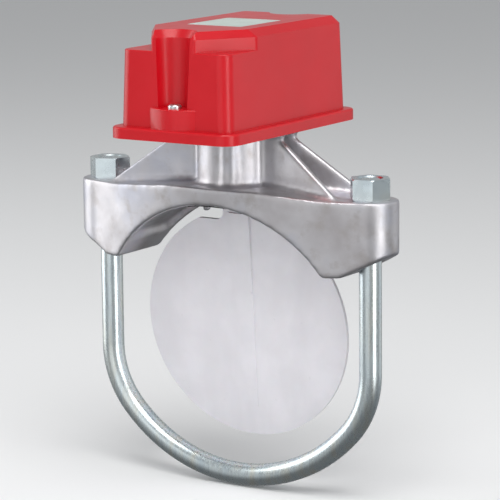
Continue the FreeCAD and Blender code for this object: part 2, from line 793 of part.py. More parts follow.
# ---------------------------------------------------------------- vane
def stem():
    hub = cylinder(hub_r, PIVOT - X_AXIS * hub_half_x, PIVOT + X_AXIS * hub_half_x)
    rod = cylinder(stem_r, PIVOT - Z_AXIS * (stem_flat_top + 4), PIVOT + Z_AXIS * stem_shoulder)
    tip = cylinder(stem_top_r, PIVOT, PIVOT + Z_AXIS * stem_top)
    back = paddle_thick / 2
    flat = box(
        PIVOT + Vector(-stem_flat_half_x, back, -stem_flat_end),
        PIVOT + Vector(stem_flat_half_x, back + stem_flat_thick, -stem_flat_top),
    )
    body = join([hub, rod, tip, flat])
    bore = PIVOT - X_AXIS * (hub_half_x + 1)
    body = body.cut(cylinder(pin_r + run_gap, bore, bore + X_AXIS * (2 * hub_half_x + 2)))
    eye = PIVOT + Z_AXIS * spring_z
    body = body.cut(cylinder(spring_wire_r + 0.6, eye - Y_AXIS * 5, eye + Y_AXIS * 5))
    for side in (-1, 1):
        body = body.cut(clamp_screw_hole(side))
    return tilted(body)


def clamp_screw_hole(side):
    middle = PIVOT + Vector(side * clamp_screw_x, 0, -clamp_screw_z)
    return cylinder(m3_r + screw_gap, middle - Y_AXIS * 12, middle + Y_AXIS * 12)


def paddle():
    """A round plastic vane with a flat top, a tab and a tapering rib."""
    centre_z = pivot_z - paddle_drop
    chord_z = centre_z + paddle_chord
    front = -paddle_thick / 2
    chord_half = sqrt(paddle_r ** 2 - paddle_chord ** 2)
    rim = [
        Part.Arc(
            Vector(-chord_half, front, chord_z), Vector(0, front, centre_z - paddle_r),
            Vector(chord_half, front, chord_z),
        ).toShape(),
        Part.makeLine(Vector(chord_half, front, chord_z), Vector(-chord_half, front, chord_z)),
    ]
    disc = Part.Face(Part.Wire(rim)).extrude(Vector(0, paddle_thick, 0))
    tab_top = pivot_z - paddle_tab_top
    low = Vector(-paddle_tab_half_x, front, chord_z - 5)
    tab = box(low, Vector(paddle_tab_half_x, front + paddle_thick, tab_top))
    blade = join([disc, tab])
    roots = edges_at(blade, lambda p: abs(p.z - chord_z) < 0.01 and abs(abs(p.x) - paddle_tab_half_x) < 0.01)
    blade = blade.makeFillet(tab_fillet_r, roots)
    corners = edges_at(blade, lambda p: abs(p.z - chord_z) < 0.01 and abs(abs(p.x) - chord_half) < 0.01)
    blade = blade.makeFillet(tab_fillet_r, corners)
    blade = join([blade, paddle_rib(front)])
    for side in (-1, 1):
        blade = blade.cut(clamp_screw_hole(side))
    return tilted(blade)


def paddle_rib(front):
    """The rib down the vane's middle fades into the face near the rim."""
    ends = ((rib_top, rib_top_half_x, rib_stand), (rib_end, rib_end_half_x, rib_end_stand))
    sections = []
    for drop, half_x, stand in ends:
        z = pivot_z - drop
        half_crest = half_x - stand * 0.5
        corners = [
            Vector(-half_x, front + 0.2, z), Vector(half_x, front + 0.2, z),
            Vector(half_crest, front - stand, z), Vector(-half_crest, front - stand, z),
        ]
        sections.append(Part.makePolygon(corners + corners[:1]))
    return loft(sections)


def paddle_clamp():
    front = -paddle_thick / 2
    plate = box(
        PIVOT + Vector(-clamp_half_x, front - clamp_thick, -clamp_end),
        PIVOT + Vector(clamp_half_x, front, -clamp_top),
    )
    for side in (-1, 1):
        plate = plate.cut(clamp_screw_hole(side))
    return tilted(plate)


def clamp_screws():
    front = -paddle_thick / 2 - clamp_thick
    length = clamp_thick + paddle_thick + stem_flat_thick + 0.6
    screws = []
    for side in (-1, 1):
        seat = PIVOT + Vector(side * clamp_screw_x, front, -clamp_screw_z)
        screws.append(tilted(machine_screw(m3_r, m3_head_r, m3_head_h, seat, -Y_AXIS, length)))
    return screws


def trip_arm():
    """A clamped collar with a plate that reaches across both switches."""
    collar = cylinder(collar_r, PIVOT + Z_AXIS * collar_low, PIVOT + Z_AXIS * collar_high)
    plate = box(
        PIVOT + Vector(-arm_half_x, -arm_front, arm_low),
        PIVOT + Vector(arm_half_x, sheet - arm_front, arm_high),
    )
    arm = join([collar, plate])
    arm = arm.cut(cylinder(stem_r, PIVOT, PIVOT + Z_AXIS * stem_shoulder))
    for side in (-1, 1):
        middle = PIVOT + Vector(side * trip_x, 0, trip_z)
        arm = arm.cut(cylinder(trip_screw_r + screw_gap, middle - Y_AXIS * 12, middle - Y_AXIS * 4))
    middle = PIVOT + Z_AXIS * (collar_low + collar_high) / 2
    arm = arm.cut(cylinder(m3_r + screw_gap, middle, middle + Y_AXIS * 12))
    return tilted(arm)


def trip_screws():
    """The two adjusting screws that press the switch levers, with their nuts."""
    screws = []
    for side in (-1, 1):
        tip = PIVOT + Vector(side * trip_x, -trip_tip, trip_z)
        shank = cylinder(trip_screw_r, tip, tip + Y_AXIS * (trip_tip - arm_front + sheet + 0.4))
        seat = PIVOT + Vector(side * trip_x, -arm_front, trip_z)
        locknut = cylinder(trip_nut_r, seat, seat - Y_AXIS * trip_nut_h)
        screws.append(tilted(join([shank, locknut])))
    return screws


def arm_screw():
    seat = PIVOT + Vector(0, collar_r, (collar_low + collar_high) / 2)
    screw = machine_screw(m3_r, m3_head_r, m3_head_h, seat, Y_AXIS, collar_r - stem_r - 0.1)
    return tilted(screw)


# ---------------------------------------------------------------- seal boot
def seal_boot():
    """A moulded boot that closes the neck round the stem."""
    fold = boot_fold_height
    wall = boot_wall
    inner_r = boot_fold_r - boot_fold_width
    collar_top = boot_collar_thick - boot_collar_drop
    points = [
        (0, -boot_collar_drop),
        (boot_collar_r + wall, -boot_collar_drop),
        (inner_r, fold - wall),
        (boot_fold_r - wall, fold - wall),
        (boot_fold_r, 0),
        (boot_flange_r, 0),
        (boot_flange_r, boot_flange_thick),
        (boot_fold_r + boot_fold_lean, boot_flange_thick),
        (boot_fold_r, fold),
        (inner_r - wall, fold),
        (boot_collar_r, collar_top),
        (0, collar_top),
    ]
    corners = [Vector(r, 0, plate_z + rise) for r, rise in points]
    face = Part.Face(Part.makePolygon(corners + corners[:1]))
    boot = face.revolve(ORIGIN, Z_AXIS, 360)
    low = Vector(0, boot_hole_y, plate_z - boot_collar_drop - 1)
    boot = boot.cut(cylinder(boot_hole_r, low, low + Z_AXIS * (2 * boot_collar_drop + boot_fold_height)))
    for x, y in ring_screw_spots():
        low = Vector(x, y, plate_z - 1)
        boot = boot.cut(cylinder(m3_r + screw_gap, low, low + Z_AXIS * 10))
    return boot


def boot_ring():
    low = Vector(0, 0, plate_z + boot_flange_thick)
    high = low + Z_AXIS * ring_thick
    ring = cylinder(ring_outer_r, low, high).cut(cylinder(ring_inner_r, low - Z_AXIS, high + Z_AXIS))
    for x, y in ring_screw_spots():
        hole = Vector(x, y, plate_z)
        ring = ring.cut(cylinder(m3_r + screw_gap, hole, hole + Z_AXIS * 10))
    return ring


def ring_fasteners():
    seat_z = plate_z + boot_flange_thick + ring_thick
    length = boot_flange_thick + ring_thick + screw_bite
    return [
        machine_screw(m3_r, m3_head_r, m3_head_h, Vector(x, y, seat_z), Z_AXIS, length)
        for x, y in ring_screw_spots()
    ]


# ---------------------------------------------------------------- snap switches
def switch_hole_zs():
    middle = switch_low_z + switch_length / 2
    return (middle - switch_hole_pitch / 2, middle + switch_hole_pitch / 2)


def terminal_zs():
    middle = switch_low_z + switch_length / 2
    return [middle + (i - (terminals - 1) / 2) * terminal_pitch for i in range(terminals)]


def snap_switch(side):
    centre_x = side * trip_x
    half_x = switch_width / 2
    case = box(
        Vector(centre_x - half_x, switch_back_y, switch_low_z),
        Vector(centre_x + half_x, switch_face_y, switch_low_z + switch_length),
    )
    face = Vector(centre_x, switch_face_y, lever_axis_z - plunger_from_pivot)
    pieces = [case, cylinder(plunger_r, face - Y_AXIS, face + Y_AXIS * plunger_stand)]
    for edge in (-1, 1):
        low_x = centre_x + edge * (lever_half_x + 0.1 + lug_thick / 2) - lug_thick / 2
        pieces.append(box(
            Vector(low_x, switch_face_y - 1, lever_axis_z - lug_half_z),
            Vector(low_x + lug_thick, lever_pivot_y + lever_barrel_r, lever_axis_z + lug_half_z),
        ))
    switch = join(pieces)
    for z in switch_hole_zs():
        low = Vector(centre_x - half_x - 1, switch_hole_y, z)
        switch = switch.cut(cylinder(m3_r + screw_gap, low, low + X_AXIS * (switch_width + 2)))
    for z in terminal_zs():
        low = Vector(centre_x, switch_back_y - 1, z)
        switch = switch.cut(cylinder(1.1, low, low + Y_AXIS * (terminal_bite + 1)))
    pin_low = Vector(centre_x - half_x, lever_pivot_y, lever_axis_z)
    return switch.cut(cylinder(lever_pin_r + run_gap, pin_low, pin_low + X_AXIS * switch_width))


def switch_lever(side):
    """A thin roller-less lever on its pin, leaning out to the trip screw."""
    centre_x = side * trip_x
    pivot = Vector(centre_x, lever_pivot_y, lever_axis_z)
    half_pin = lever_half_x + lug_thick
    pin = cylinder(lever_pin_r, pivot - X_AXIS * half_pin, pivot + X_AXIS * half_pin)
    barrel = cylinder(lever_barrel_r, pivot - X_AXIS * lever_half_x, pivot + X_AXIS * lever_half_x)
    strip = box(
        pivot + Vector(-lever_half_x, -lever_thick, -lever_length),
        pivot + Vector(lever_half_x, 0, 0),
    )
    lever = join([pin, barrel, strip])
    lever.rotate(pivot, X_AXIS, lever_rest)
    return lever


def switch_insulator():
    half = insulator_thick / 2
    margin = insulator_margin
    sheet_piece = box(
        Vector(-half, switch_back_y - margin, switch_low_z - margin / 2),
        Vector(half, switch_face_y + margin / 2, switch_low_z + switch_length + margin / 2),
    )
    for z in switch_hole_zs():
        low = Vector(-half - 1, switch_hole_y, z)
        sheet_piece = sheet_piece.cut(cylinder(m3_r + screw_gap, low, low + X_AXIS * 5))
    return sheet_piece


def switch_screws():
    """Two long screws through both switches, each with its hexagon nut."""
    seat_x = bracket_half_gap + sheet
    screws = []
    for z in switch_hole_zs():
        seat = Vector(seat_x, switch_hole_y, z)
        screw = machine_screw(m3_r, m3_head_r, m3_head_h, seat, X_AXIS, 2 * seat_x + 2.6)
        locknut = hexagon(5.5, ORIGIN, Z_AXIS * 2.2)
        locknut.rotate(ORIGIN, Y_AXIS, -90)
        locknut.translate(Vector(-seat_x, switch_hole_y, z))
        screws.append(join([screw, locknut]))
    return screws


def terminal_tabs():
    tabs = []
    for side in (-1, 1):
        for z in terminal_zs():
            low = Vector(side * trip_x - terminal_half, switch_back_y - terminal_thick, z - terminal_half)
            high = Vector(side * trip_x + terminal_half, switch_back_y, z + terminal_half)
            hole = Vector(side * trip_x, switch_back_y - 2, z)
            tabs.append(box(low, high).cut(cylinder(1.1, hole, hole + Y_AXIS * 4)))
    return tabs


def terminal_screws():
    screws = []
    for side in (-1, 1):
        for z in terminal_zs():
            seat = Vector(side * trip_x, switch_back_y - terminal_thick, z)
            length = terminal_thick + terminal_bite - 0.2
            screws.append(machine_screw(1.0, terminal_head_r, terminal_head_h, seat, -Y_AXIS, length))
    return screws


# ---------------------------------------------------------------- brackets
def switch_bracket():
    """A folded sheet frame: a foot on the plate and two cheeks."""
    foot = box(
        Vector(-bracket_half_x, bracket_front_y, plate_z),
        Vector(bracket_half_x, bracket_back_y, plate_z + sheet),
    )
    profile = [
        (cheek_front_y, plate_z), (bracket_back_y, plate_z), (bracket_back_y, plate_z + cheek_step),
        (cheek_back_y, plate_z + cheek_step), (cheek_back_y, plate_z + cheek_height),
        (cheek_front_y + 5, plate_z + cheek_height), (cheek_front_y, plate_z + cheek_height - 5),
    ]
    cheek = polygon_x(profile, bracket_half_gap, bracket_half_gap + sheet)
    bracket = join([foot, cheek, mirror_x(cheek)])
    for side in (-1, 1):
        hole = Vector(side * bracket_screw_x, bracket_screw_y, plate_z - 1)
        bracket = bracket.cut(cylinder(m4_r + screw_gap, hole, hole + Z_AXIS * 5))
    for z in switch_hole_zs():
        low = Vector(-bracket_half_x, switch_hole_y, z)
        bracket = bracket.cut(cylinder(m3_r + screw_gap, low, low + X_AXIS * 2 * bracket_half_x))
    return bracket


def retard_bracket():
    """An angle whose upright carries the retard and the spring's fixed end."""
    foot = box(
        Vector(-shelf_half_x, shelf_front_y, plate_z),
        Vector(shelf_half_x, retard_back_y + sheet, plate_z + sheet),
    )
    low = Vector(-upright_half_x, retard_back_y, plate_z)
    upright = box(low, Vector(upright_half_x, retard_back_y + sheet, plate_z + upright_height))
    top_z = plate_z + upright_height
    tops = edges_at(upright, lambda p: abs(p.z - top_z) < 0.01 and abs(abs(p.x) - upright_half_x) < 0.01)
    upright = upright.makeFillet(4.0, tops)
    for side in (-1, 1):
        low = Vector(side * conduit_x, conduit_y, plate_low_z)
        foot = foot.cut(cylinder(conduit_boss_r + shelf_relief, low, Vector(low.x, low.y, plate_z + 5)))
    bracket = join([foot, upright])
    boss = Vector(0, retard_back_y - 1, retard_axis_z)
    bracket = bracket.cut(cylinder(retard_boss_r, boss, boss + Y_AXIS * 5))
    eye = Vector(0, retard_back_y - 1, spring_axis_z())
    bracket = bracket.cut(cylinder(spring_wire_r + 0.2, eye, eye + Y_AXIS * 5))
    for side in (-1, 1):
        hole = Vector(side * shelf_screw_x, shelf_screw_y, plate_z - 1)
        bracket = bracket.cut(cylinder(m4_r + screw_gap, hole, hole + Z_AXIS * 5))
    return bracket


def bracket_screws():
    """The four screws that hold both brackets to the plate."""
    seat_z = plate_z + sheet
    spots = [(side * bracket_screw_x, bracket_screw_y) for side in (-1, 1)]
    spots += [(side * shelf_screw_x, shelf_screw_y) for side in (-1, 1)]
    return [
        machine_screw(m4_r, m4_head_r, m4_head_h, Vector(x, y, seat_z), Z_AXIS, sheet + screw_bite)
        for x, y in spots
    ]


def ground_screw():
    seat = Vector(ground_x, ground_y, plate_z + 1)
    washer = cylinder(m4_head_r + 1, Vector(ground_x, ground_y, plate_z), seat)
    return join([machine_screw(m4_r, m4_head_r, m4_head_h, seat, Z_AXIS, 1 + screw_bite), washer])


def conduit_plug():
    """The threaded plug that closes the conduit entry not in use."""
    mouth = Vector(-conduit_x, conduit_y, plate_low_z)
    body = cylinder(conduit_r - screw_gap, mouth, mouth + Z_AXIS * (plate_thick + conduit_boss_rise))
    head = cylinder(conduit_r + 2.4, mouth - Z_AXIS * 3.2, mouth)
    plug = join([body, head])
    socket = hexagon(10.0, mouth - Z_AXIS * 4, mouth + Z_AXIS * 1.5)
    return plug.cut(socket)


# ---------------------------------------------------------------- retard
def retard_body():
    """The air dashpot: a can with a front bush, a rear boss and a spindle."""
    def spot(y):
        return Vector(0, y, retard_axis_z)

    can = cylinder(retard_r, spot(retard_front_y), spot(retard_back_y))
    ends = edges_at(can, lambda p: abs(p.y - retard_front_y) < 0.01)
    can = can.makeFillet(1.5, ends)
    boss_end = retard_back_y + retard_boss_length
    dial_back = boss_end + seat_gap + dial_thick
    pieces = [
        can,
        cylinder(retard_bush_r, spot(retard_bush_front_y), spot(retard_front_y + 2)),
        cylinder(retard_boss_r, spot(retard_back_y - 1), spot(boss_end)),
        cylinder(spindle_r, spot(retard_back_y), spot(dial_back + seat_gap + 1.2)),
        cylinder(spindle_r + 1.2, spot(dial_back + seat_gap), spot(dial_back + seat_gap + 1.2)),
    ]
    body = join(pieces)
    bore = spot(retard_bush_front_y - 1)
    return body.cut(cylinder(rod_small_r + run_gap, bore, spot(rod_back_y + rod_travel / 2 + 1)))


def retard_plunger():
    """The dashpot's rod, with a round tip that follows the stem."""
    centre = Vector(0, rod_reach + rod_small_r, retard_axis_z)
    rod = cylinder(rod_small_r, centre, Vector(0, rod_back_y, retard_axis_z))
    return join([rod, Part.makeSphere(rod_small_r, centre)])


def retard_dial():
    low_y = retard_back_y + retard_boss_length + seat_gap
    low = Vector(0, low_y, retard_axis_z)
    high = low + Y_AXIS * dial_thick
    dial = cylinder(dial_r, low, high)
    rims = edges_at(dial, lambda p: abs(p.y - high.y) < 0.01)
    dial = dial.makeFillet(0.8, rims)
    flutes = []
    for i in range(dial_flutes):
        angle = 2 * pi * i / dial_flutes
        shift = Vector(dial_r * cos(angle), 0, dial_r * sin(angle))
        flutes.append(cylinder(dial_flute_r, low + shift - Y_AXIS, high + shift + Y_AXIS))
    dial = dial.cut(Part.makeCompound(flutes))
    return dial.cut(cylinder(spindle_r + run_gap, low - Y_AXIS, high + Y_AXIS))


# ---------------------------------------------------------------- return spring
def spring_axis_z():
    return pivot_z + spring_z * cos(radians(rest_tilt))


def return_spring():
    """A close-coiled extension spring from the stem to the retard's bracket."""
    axis_z = spring_axis_z()
    length = spring_back_y - spring_front_y
    helix = Part.makeHelix(length / spring_turns, length, spring_r)
    ring = Part.Wire(Part.makeCircle(spring_wire_r, Vector(spring_r, 0, 0), Y_AXIS))
    coil = Part.Wire(helix).makePipeShell([ring], True, True)
    coil.rotate(ORIGIN, X_AXIS, -90)
    coil.translate(Vector(0, spring_front_y, axis_z))
    stem_front = -spring_z * sin(radians(rest_tilt)) - stem_top_r - seat_gap
    upright_back = retard_back_y + sheet + seat_gap
    pieces = []
    for coil_y, end_y, out in ((spring_front_y, stem_front, -1), (spring_back_y, upright_back, 1)):
        corner = Vector(0, coil_y, axis_z)
        end = Vector(0, end_y, axis_z)
        leg = cylinder(spring_wire_r, corner, end + Y_AXIS * out * 0.1)
        arm = cylinder(spring_wire_r, corner, corner + X_AXIS * spring_r)
        bead = cylinder(bead_r, end, end + Y_AXIS * out * bead_length)
        ball = Part.makeSphere(spring_wire_r, corner)
        pieces.append(join([leg, arm, bead, ball]))
    return [coil] + pieces


# ---------------------------------------------------------------- the parts
PARTS = {
    "saddle_casting": lambda: saddle_casting().cut(gasket_groove()),
    "pipe_gasket": pipe_gasket,
    "pivot_pin": pivot_pin,
    "cover_seal": cover_seal,
    "cover": cover,
    "cover_screw_front": lambda: cover_screw(-1),
    "cover_screw_rear": lambda: cover_screw(1),
    "u_bolt": u_bolt,
    "nut_left": lambda: nut(-1, nut_turn_left),
    "nut_right": lambda: nut(1, nut_turn_right),
    "stem": stem,
    "paddle": paddle,
    "paddle_clamp": paddle_clamp,
    "clamp_screws": clamp_screws,
    "trip_arm": trip_arm,
    "trip_screws": trip_screws,
    "arm_screw": arm_screw,
    "seal_boot": seal_boot,
    "boot_ring": boot_ring,
    "ring_screws": ring_fasteners,
    "switch_left": lambda: snap_switch(-1),
    "switch_right": lambda: snap_switch(1),
    "switch_lever_left": lambda: switch_lever(-1),
    "switch_lever_right": lambda: switch_lever(1),
    "switch_insulator": switch_insulator,
    "switch_screws": switch_screws,
    "terminal_tabs": terminal_tabs,
    "terminal_screws": terminal_screws,
    "switch_bracket": switch_bracket,
    "retard_bracket": retard_bracket,
    "bracket_screws": bracket_screws,
    "ground_screw": ground_screw,
    "conduit_plug": conduit_plug,
    "retard_body": retard_body,
    "retard_plunger": retard_plunger,
    "retard_dial": retard_dial,
    "return_spring": return_spring,
}


def main():
    os.makedirs("parts", exist_ok=True)
    for name, make in PARTS.items():
        shape = make()
        if isinstance(shape, list):
            shape = Part.makeCompound(shape)
        shape.exportStep("parts/" + name + ".step")
        box_ = shape.BoundBox
        print("%-20s solids %d valid %s volume %.1f  x %.1f..%.1f y %.1f..%.1f z %.1f..%.1f" % (
            name, len(shape.Solids), shape.isValid(), shape.Volume,
            box_.XMin, box_.XMax, box_.YMin, box_.YMax, box_.ZMin, box_.ZMax))


main()
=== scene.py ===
"""Vane flow switch for a 6 inch pipe, dressed and lit.

Metres. The pipe's axis is the origin and runs along Y, X runs from one leg of
the U-bolt to the other, and Z points up into the switch housing.
"""

import math

import bmesh
import bpy
from mathutils import Matrix, Vector


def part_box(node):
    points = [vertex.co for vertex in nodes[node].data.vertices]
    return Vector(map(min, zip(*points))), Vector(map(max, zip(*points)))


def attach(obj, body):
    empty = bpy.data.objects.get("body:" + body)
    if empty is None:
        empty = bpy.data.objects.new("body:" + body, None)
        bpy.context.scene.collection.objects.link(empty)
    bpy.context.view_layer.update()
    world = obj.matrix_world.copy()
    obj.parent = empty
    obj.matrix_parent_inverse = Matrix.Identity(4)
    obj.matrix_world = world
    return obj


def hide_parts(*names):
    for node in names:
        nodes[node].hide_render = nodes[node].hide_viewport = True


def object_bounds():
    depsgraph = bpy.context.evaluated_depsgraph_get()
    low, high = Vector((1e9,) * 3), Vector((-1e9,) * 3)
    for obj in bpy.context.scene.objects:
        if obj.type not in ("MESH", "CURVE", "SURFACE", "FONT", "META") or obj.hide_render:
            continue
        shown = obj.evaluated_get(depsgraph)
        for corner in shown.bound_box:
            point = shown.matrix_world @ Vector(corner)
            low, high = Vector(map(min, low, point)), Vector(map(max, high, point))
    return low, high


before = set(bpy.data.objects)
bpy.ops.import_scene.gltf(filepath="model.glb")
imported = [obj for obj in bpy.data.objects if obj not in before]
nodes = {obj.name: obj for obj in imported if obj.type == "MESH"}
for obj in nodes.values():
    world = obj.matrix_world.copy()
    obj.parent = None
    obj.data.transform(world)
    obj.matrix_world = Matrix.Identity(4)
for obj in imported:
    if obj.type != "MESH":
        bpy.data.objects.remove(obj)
cad_low, cad_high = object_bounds()
MM = 0.001


# ------------------------------------------------------------------ finishes
def paint(red, green, blue):
    """A colour as it is mixed on a chart, 0 to 255, made linear."""
    out = []
    for part in (red, green, blue):
        part = part / 255
        out.append(part / 12.92 if part <= 0.04045 else ((part + 0.055) / 1.055) ** 2.4)
    return (*out, 1.0)


def blank_finish(name, colour, rough, metal=0.0, coat=0.0, specular=0.5):
    finish = bpy.data.materials.new(name)
    finish.use_nodes = True
    skin = finish.node_tree.nodes["Principled BSDF"]
    skin.inputs["Base Color"].default_value = colour
    skin.inputs["Roughness"].default_value = rough
    skin.inputs["Metallic"].default_value = metal
    skin.inputs["Coat Weight"].default_value = coat
    skin.inputs["Coat Roughness"].default_value = 0.08
    skin.inputs["Specular IOR Level"].default_value = specular
    return finish


def stock(finish, stretch=(1, 1, 1)):
    """The place on the object, squeezed or stretched along each way."""
    tree = finish.node_tree
    place = tree.nodes.new("ShaderNodeTexCoord")
    turn = tree.nodes.new("ShaderNodeMapping")
    turn.inputs["Scale"].default_value = stretch
    tree.links.new(place.outputs["Object"], turn.inputs["Vector"])
    return turn.outputs["Vector"]


def mottle(finish, per_metre, detail=3.0, stretch=(1, 1, 1), soft=0.5):
    tree = finish.node_tree
    cloud = tree.nodes.new("ShaderNodeTexNoise")
    cloud.inputs["Scale"].default_value = per_metre
    cloud.inputs["Detail"].default_value = detail
    cloud.inputs["Roughness"].default_value = soft
    tree.links.new(stock(finish, stretch), cloud.inputs["Vector"])
    return cloud.outputs["Fac"]


def graded(finish, level, stops):
    """Colours or greys set out along a level from 0 to 1."""
    tree = finish.node_tree
    ramp = tree.nodes.new("ShaderNodeValToRGB")
    marks = ramp.color_ramp.elements
    while len(marks) < len(stops):
        marks.new(0.5)
    for mark, (spot, colour) in zip(marks, stops):
        mark.position = spot
        mark.color = colour if len(colour) == 4 else (*colour, 1.0)
    tree.links.new(level, ramp.inputs["Fac"])
    return ramp.outputs["Color"]


def colours(finish, level, stops):
    tree = finish.node_tree
    skin = tree.nodes["Principled BSDF"]
    tree.links.new(graded(finish, level, stops), skin.inputs["Base Color"])


def stain(finish, level, low, high, colour):
    """A second colour laid over the first where a level is high."""
    tree = finish.node_tree
    skin = tree.nodes["Principled BSDF"]
    under = skin.inputs["Base Color"].links[0].from_socket
    where = graded(finish, level, [(low, (0, 0, 0)), (high, (1, 1, 1))])
    over = tree.nodes.new("ShaderNodeMix")
    over.data_type = "RGBA"
    tree.links.new(where, over.inputs["Factor"])
    tree.links.new(under, over.inputs["A"])
    over.inputs["B"].default_value = colour
    tree.links.new(over.outputs["Result"], skin.inputs["Base Color"])


def polish(finish, level, dull, bright):
    """Roughness that wanders between two values."""
    tree = finish.node_tree
    span = tree.nodes.new("ShaderNodeMapRange")
    span.inputs["From Min"].default_value = 0.3
    span.inputs["From Max"].default_value = 0.7
    span.inputs["To Min"].default_value = bright
    span.inputs["To Max"].default_value = dull
    tree.links.new(level, span.inputs["Value"])
    tree.links.new(span.outputs["Result"], tree.nodes["Principled BSDF"].inputs["Roughness"])


def relief(finish, level, depth, strength=1.0):
    """Raises the surface by a level; called again, it adds to what is there."""
    tree = finish.node_tree
    skin = tree.nodes["Principled BSDF"]
    bump = tree.nodes.new("ShaderNodeBump")
    bump.inputs["Strength"].default_value = strength
    bump.inputs["Distance"].default_value = depth
    tree.links.new(level, bump.inputs["Height"])
    if skin.inputs["Normal"].links:
        tree.links.new(skin.inputs["Normal"].links[0].from_socket, bump.inputs["Normal"])
    tree.links.new(bump.outputs["Normal"], skin.inputs["Normal"])


def cast_aluminium():
    finish = blank_finish("cast_aluminium", paint(196, 194, 196), 0.42, metal=1.0)
    colours(finish, mottle(finish, 30, 3), [
        (0.30, paint(190, 186, 188)), (0.50, paint(210, 208, 211)), (0.70, paint(200, 201, 210)),
    ])
    stain(finish, mottle(finish, 85, 5, soft=0.6), 0.52, 0.76, paint(186, 181, 180))
    polish(finish, mottle(finish, 70, 4), 0.52, 0.38)
    relief(finish, mottle(finish, 46, 3), 0.0010, 0.16)
    relief(finish, mottle(finish, 300, 4), 0.00022, 0.25)
    relief(finish, mottle(finish, 2200, 2), 0.00005, 0.4)
    return finish


def red_cover():
    finish = blank_finish("red_cover", paint(190, 6, 22), 0.3, coat=0.1, specular=0.4)
    colours(finish, mottle(finish, 22, 2), [(0.35, paint(186, 4, 20)), (0.65, paint(192, 7, 24))])
    polish(finish, mottle(finish, 90, 2), 0.36, 0.30)
    relief(finish, mottle(finish, 1300, 2), 0.00002, 0.30)
    relief(finish, mottle(finish, 60, 2), 0.0002, 0.10)
    return finish


def zinc_plate(name, stretch, rough=0.30):
    finish = blank_finish(name, paint(214, 222, 226), rough, metal=1.0)
    colours(finish, mottle(finish, 24, 3, stretch), [
        (0.30, paint(222, 224, 216)), (0.50, paint(218, 228, 230)), (0.72, paint(204, 217, 224)),
    ])
    stain(finish, mottle(finish, 160, 4, stretch), 0.60, 0.78, paint(188, 200, 206))
    polish(finish, mottle(finish, 120, 3, stretch), rough + 0.06, rough - 0.08)
    relief(finish, mottle(finish, 700, 3, stretch), 0.00003, 0.35)
    return finish


def turned_steel(name, stretch, tone=(196, 196, 194)):
    finish = blank_finish(name, paint(*tone), 0.28, metal=1.0)
    colours(finish, mottle(finish, 60, 2), [
        (0.35, paint(*[c - 10 for c in tone])), (0.65, paint(*[min(c + 8, 255) for c in tone])),
    ])
    polish(finish, mottle(finish, 500, 2, stretch), 0.36, 0.22)
    relief(finish, mottle(finish, 3000, 2, stretch), 0.00002, 0.5)
    return finish


def moulded(name, low, high, rough=0.5, coat=0.0, grain=1500, depth=0.00004):
    finish = blank_finish(name, paint(*low), rough, coat=coat)
    colours(finish, mottle(finish, 55, 3), [(0.35, paint(*low)), (0.65, paint(*high))])
    polish(finish, mottle(finish, 260, 2), rough + 0.06, rough - 0.06)
    relief(finish, mottle(finish, grain, 2), depth, 0.5)
    return finish


def vane_plastic():
    finish = moulded("vane_plastic", (222, 220, 225), (228, 226, 231), 0.58, grain=1800, depth=0.00002)
    stain(finish, mottle(finish, 20, 3, (2, 1, 0.6)), 0.50, 0.80, paint(216, 214, 219))
    stain(finish, mottle(finish, 260, 4), 0.70, 0.86, paint(200, 198, 204))
    skin = finish.node_tree.nodes["Principled BSDF"]
    skin.inputs["Subsurface Weight"].default_value = 0.06
    skin.inputs["Subsurface Scale"].default_value = 0.004
    return finish


def pressed_board():
    finish = blank_finish("pressed_board", paint(168, 140, 98), 0.75)
    colours(finish, mottle(finish, 900, 3, (1, 3, 0.6)), [
        (0.3, paint(150, 122, 84)), (0.7, paint(184, 158, 116)),
    ])
    polish(finish, mottle(finish, 300, 2), 0.82, 0.68)
    relief(finish, mottle(finish, 1600, 2), 0.00008, 0.5)
    return finish


def label_film():
    finish = blank_finish("label_film", paint(190, 205, 196), 0.34, coat=0.2)
    colours(finish, mottle(finish, 70, 3), [(0.3, paint(186, 200, 192)), (0.7, paint(202, 214, 206))])
    polish(finish, mottle(finish, 400, 2), 0.40, 0.28)
    relief(finish, mottle(finish, 1200, 2), 0.00002, 0.4)
    return finish


casting = cast_aluminium()
red = red_cover()
rod_zinc = zinc_plate("rod_zinc", (6, 6, 0.6))
nut_zinc = zinc_plate("nut_zinc", (1, 1, 1), 0.28)
screw_zinc = zinc_plate("screw_zinc", (2, 2, 2))
sheet_zinc = zinc_plate("sheet_zinc", (1, 5, 1))
stainless = turned_steel("stainless", (1, 1, 8))
spring_steel = turned_steel("spring_steel", (1, 1, 4), (176, 178, 182))
nickel = turned_steel("nickel", (6, 6, 6), (206, 200, 186))
brass = turned_steel("brass", (3, 3, 3), (204, 166, 88))
vane = vane_plastic()
rubber = moulded("rubber", (28, 27, 27), (38, 37, 36), 0.72, grain=1100, depth=0.00008)
switch_case = moulded("switch_case", (26, 26, 28), (34, 34, 36), 0.42, grain=1900)
retard_case = moulded("retard_case", (44, 44, 48), (54, 54, 58), 0.46, grain=1700)
dial_plastic = moulded("dial_plastic", (206, 202, 190), (216, 212, 202), 0.48)
plug_plastic = moulded("plug_plastic", (92, 94, 96), (106, 107, 110), 0.5)
board = pressed_board()
green = moulded("green_dye", (34, 96, 52), (44, 112, 62), 0.35, coat=0.2)

